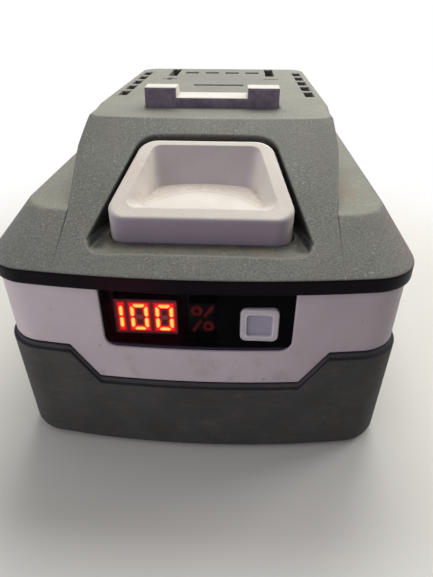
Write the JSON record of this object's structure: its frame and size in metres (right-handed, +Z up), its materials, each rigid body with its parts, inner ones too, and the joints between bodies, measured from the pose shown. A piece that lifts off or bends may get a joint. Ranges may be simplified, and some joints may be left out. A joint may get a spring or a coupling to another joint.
{
  "type": "power tool battery pack",
  "caption": "Slide-on battery pack with side rails, a front release button that draws in its locking tongue, and a charge display with a push button.",
  "frame": {"origin": "on the ground under the middle of the pack", "axes": "+Z up, -Y towards the release button and the display, +Y the way the tool slides off"},
  "size_m": [0.075, 0.114, 0.0622],
  "materials": {
    "upper_shell": "dark grey glass-filled nylon with a fine spark-eroded grain",
    "lower_shell": "pale lavender-grey moulded plastic, slightly scuffed",
    "overmould": "charcoal moulded rubber",
    "latch_shell": "off-white moulded plastic with a fine grain",
    "lens": "polished black window",
    "check_cap": "pale satin button",
    "segment_lit": "lit red bars",
    "segment_dim": "unlit red bars",
    "module": "black display block",
    "board": "green lacquered circuit board",
    "steel": "bright steel",
    "screw": "black zinc-plated steel",
    "nickel": "nickel strip",
    "cell": "cell in blue shrink film",
    "card": "fish paper",
    "foam": "closed-cell foam",
    "holder": "black moulded plastic",
    "contact": "plated copper alloy",
    "component": "moulded component body",
    "ribbon": "flat flexible cable"
  },
  "bodies": {
    "case": {"upper_case": "upper_shell", "lower_case": "lower_shell", "rubber_bumper": "overmould", "latch_retainer": "holder", "retainer_screws": "screw", "latch_spring_left": "steel", "latch_spring_right": "steel", "case_screws": "screw", "display_lens": "lens", "check_switch": "component", "display_board": "board", "display_module": "module", "digit_segments": "segment_lit", "unlit_segments": "segment_dim", "percent_module": "module", "percent_mark": "segment_dim", "display_ribbon": "ribbon", "cell_insulators": "card", "cell_holder_left": "holder", "cell_holder_right": "holder", "insulation_paper_left": "card", "insulation_paper_right": "card", "foam_pads": "foam", "main_board": "board", "board_screws": "screw", "terminal_positive": "contact", "terminal_negative": "contact", "signal_contacts": "contact", "terminal_block": "holder", "power_transistors": "component", "control_chip": "component", "current_shunt": "contact", "board_resistors": "component", "thermistor": "component", "cell_lower_1": "cell", "cell_lower_2": "cell", "cell_lower_3": "cell", "cell_lower_4": "cell", "cell_lower_5": "cell", "cell_upper_1": "cell", "cell_upper_2": "cell", "cell_upper_3": "cell", "cell_upper_4": "cell", "cell_upper_5": "cell", "cell_strip_1": "nickel", "cell_strip_2": "nickel", "cell_strip_3": "nickel", "cell_strip_4": "nickel", "cell_strip_5": "nickel", "cell_strip_6": "nickel"},
    "latch": {"release_latch": "latch_shell"},
    "check": {"check_button": "check_cap", "switch_plunger": "component"}
  },
  "joints": [
    {"name": "latch_press", "type": "slide", "parent": "case", "child": "latch", "axis": [0, 0, 1], "range_m": [-0.0044, 0], "stiffness_N_per_m": 800, "springref_m": 0.006, "deforming": ["latch_spring_left", "latch_spring_right"]},
    {"name": "check_press", "type": "slide", "parent": "case", "child": "check", "axis": [0, 1, 0], "range_m": [0, 0.0005], "stiffness_N_per_m": 2500, "springref_m": -0.0001}
  ]
}
